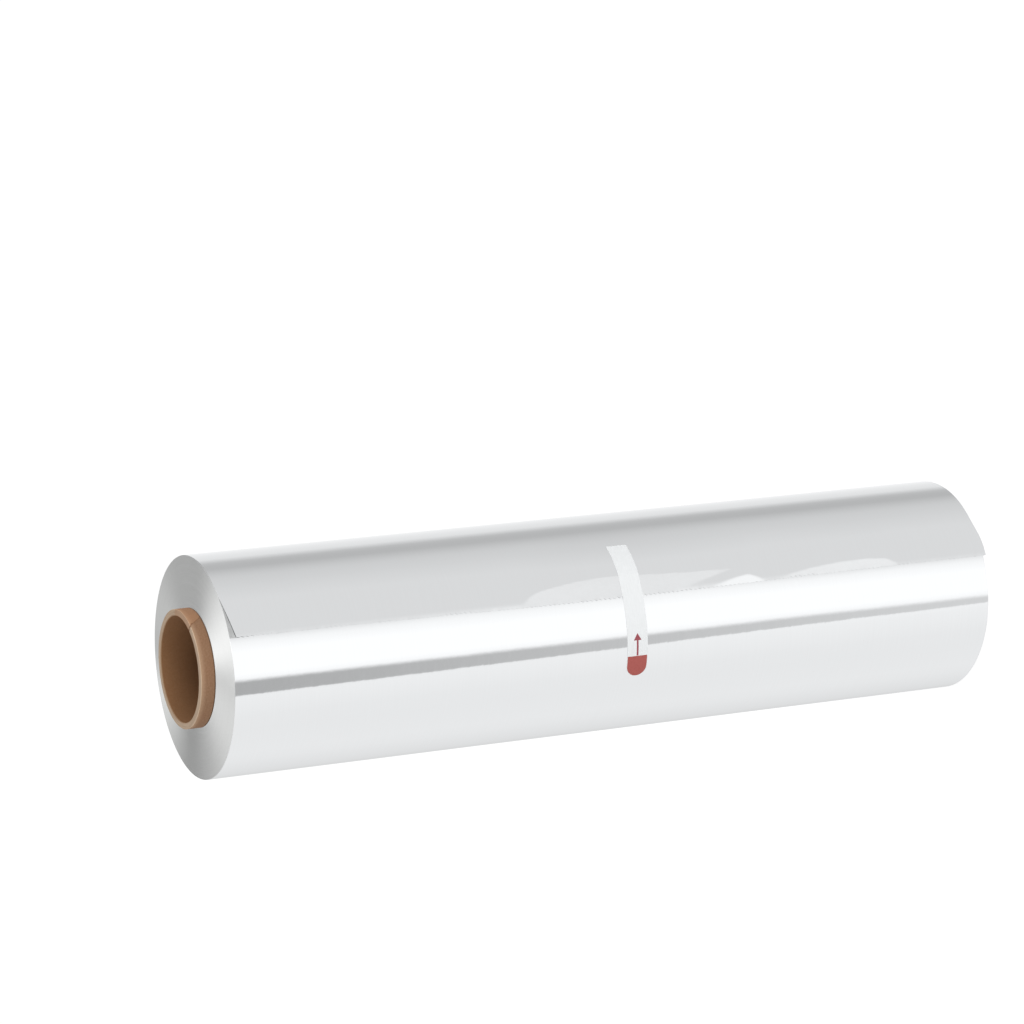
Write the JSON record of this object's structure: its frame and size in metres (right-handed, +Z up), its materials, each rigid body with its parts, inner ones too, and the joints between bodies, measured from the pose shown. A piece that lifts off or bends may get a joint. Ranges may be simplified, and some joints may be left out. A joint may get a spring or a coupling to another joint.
{
  "type": "aluminium foil roll",
  "caption": "Roll of bright aluminium kitchen foil on a cardboard core that stands out of both ends, with a clear pull tab over its serrated free edge.",
  "frame": {"origin": "centre of the core's lower rim, on the surface that the roll stands on", "axes": "+Z up along the roll's axis; -Y towards the side that carries the pull tab; +X across it, towards the tab's plain end"},
  "size_m": [0.08, 0.08, 0.316],
  "materials": {
    "core": "uncoated kraft board, spiral wound",
    "foil": "bright rolled foil",
    "tab": "clear adhesive strip, slightly milky",
    "print": "printed ink"
  },
  "bodies": {
    "root": {"core": "core", "foil": "foil", "pull_tab": "tab", "tab_print": "print"}
  },
  "joints": []
}
